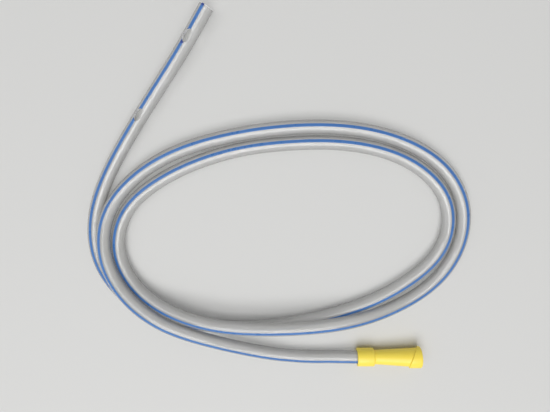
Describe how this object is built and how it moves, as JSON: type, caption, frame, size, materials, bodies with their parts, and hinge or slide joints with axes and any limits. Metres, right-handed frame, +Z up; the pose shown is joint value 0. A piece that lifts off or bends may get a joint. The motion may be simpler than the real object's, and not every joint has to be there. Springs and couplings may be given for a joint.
{
  "type": "stomach tube",
  "caption": "Clear medical tube lying in loops, with a blue line in its wall, side eyes near its open tip and a yellow funnel connector on its other end.",
  "frame": {"origin": "on the surface that the tube lies on, under the middle of its bounding box", "axes": "+X along the long way of the loops, the way the connector's funnel opens; +Y towards the side where the tip lies; +Z up"},
  "size_m": [0.1856, 0.1744, 0.0138],
  "materials": {
    "clear_pvc": "clear, slightly milky soft PVC with a soft gloss",
    "radiopaque_blue": "blue PVC drawn into the wall",
    "yellow_plastic": "moulded, soft gloss"
  },
  "bodies": {
    "root": {"tube": "clear_pvc", "radiopaque_line_1": "radiopaque_blue", "radiopaque_line_2": "radiopaque_blue", "radiopaque_line_3": "radiopaque_blue", "connector": "yellow_plastic"}
  },
  "joints": []
}
